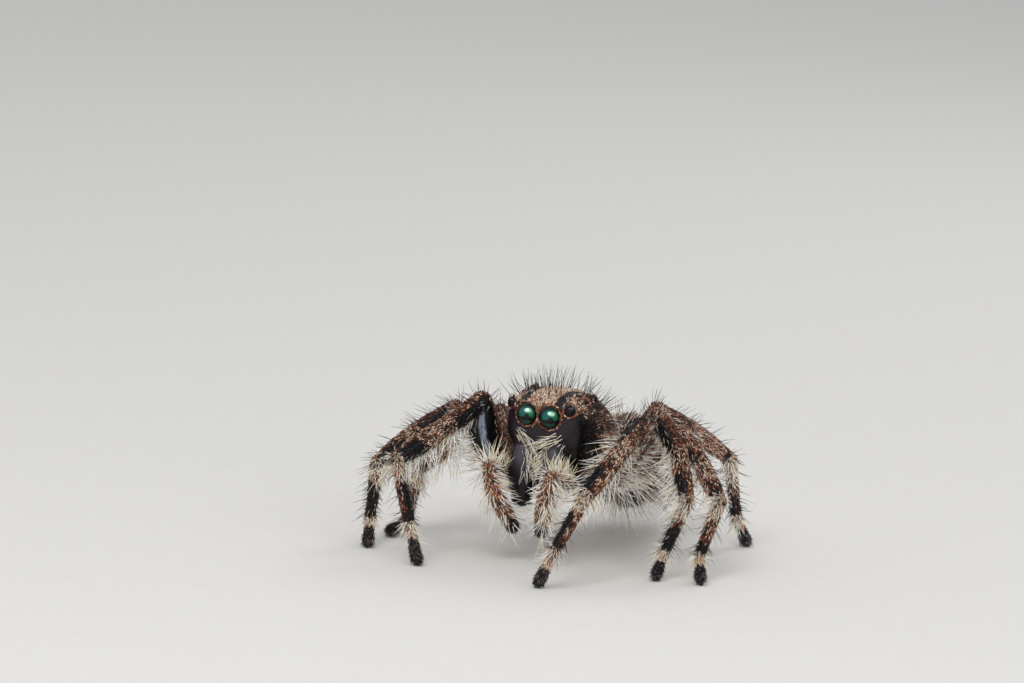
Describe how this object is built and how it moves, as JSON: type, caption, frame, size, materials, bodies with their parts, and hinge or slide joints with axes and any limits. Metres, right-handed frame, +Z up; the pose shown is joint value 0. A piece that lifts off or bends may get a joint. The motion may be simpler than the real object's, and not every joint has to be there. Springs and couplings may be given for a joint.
{
  "type": "jumping spider",
  "caption": "Life-size still model of a male jumping spider that stands alert with its legs spread and front knees held high.",
  "frame": {"origin": "on the floor, under the middle of the whole animal", "axes": "+Z up, -Y the way the spider faces, +X its left side"},
  "size_m": [0.0118, 0.0148, 0.0065],
  "materials": {
    "shield": "dark glossy shield with copper scales",
    "jaw": "satin black with a violet sheen",
    "green_eye": "polished metallic green under a clear lens",
    "dark_eye": "polished black",
    "leg_scales": "black cuticle with copper and cream scales",
    "dark_hair": "black cuticle, bristles and foot brushes",
    "pale_hair": "long cream hair",
    "abdomen_coat": "grey-brown coat with long pale hair"
  },
  "bodies": {
    "root": {"cephalothorax": "shield", "pedicel": "shield", "abdomen": "abdomen_coat", "spinnerets": "abdomen_coat", "eye_front_middle_left": "green_eye", "eye_front_side_left": "dark_eye", "eye_small_left": "dark_eye", "eye_rear_left": "dark_eye", "chelicera_left": "jaw", "palp_left_femur": "pale_hair", "palp_left_tibia": "pale_hair", "palp_left_cymbium": "pale_hair", "leg_1_left_femur": "leg_scales", "leg_1_left_patella": "leg_scales", "leg_1_left_tibia": "leg_scales", "leg_1_left_metatarsus": "dark_hair", "leg_1_left_tarsus": "dark_hair", "leg_2_left_femur": "leg_scales", "leg_2_left_patella": "leg_scales", "leg_2_left_tibia": "leg_scales", "leg_2_left_metatarsus": "dark_hair", "leg_2_left_tarsus": "dark_hair", "leg_3_left_femur": "leg_scales", "leg_3_left_patella": "leg_scales", "leg_3_left_tibia": "leg_scales", "leg_3_left_metatarsus": "dark_hair", "leg_3_left_tarsus": "dark_hair", "leg_4_left_femur": "leg_scales", "leg_4_left_patella": "leg_scales", "leg_4_left_tibia": "leg_scales", "leg_4_left_metatarsus": "dark_hair", "leg_4_left_tarsus": "dark_hair", "eye_front_middle_right": "green_eye", "eye_front_side_right": "dark_eye", "eye_small_right": "dark_eye", "eye_rear_right": "dark_eye", "chelicera_right": "jaw", "palp_right_femur": "pale_hair", "palp_right_tibia": "pale_hair", "palp_right_cymbium": "pale_hair", "leg_1_right_femur": "leg_scales", "leg_1_right_patella": "leg_scales", "leg_1_right_tibia": "leg_scales", "leg_1_right_metatarsus": "dark_hair", "leg_1_right_tarsus": "dark_hair", "leg_2_right_femur": "leg_scales", "leg_2_right_patella": "leg_scales", "leg_2_right_tibia": "leg_scales", "leg_2_right_metatarsus": "dark_hair", "leg_2_right_tarsus": "dark_hair", "leg_3_right_femur": "leg_scales", "leg_3_right_patella": "leg_scales", "leg_3_right_tibia": "leg_scales", "leg_3_right_metatarsus": "dark_hair", "leg_3_right_tarsus": "dark_hair", "leg_4_right_femur": "leg_scales", "leg_4_right_patella": "leg_scales", "leg_4_right_tibia": "leg_scales", "leg_4_right_metatarsus": "dark_hair", "leg_4_right_tarsus": "dark_hair"}
  },
  "joints": []
}
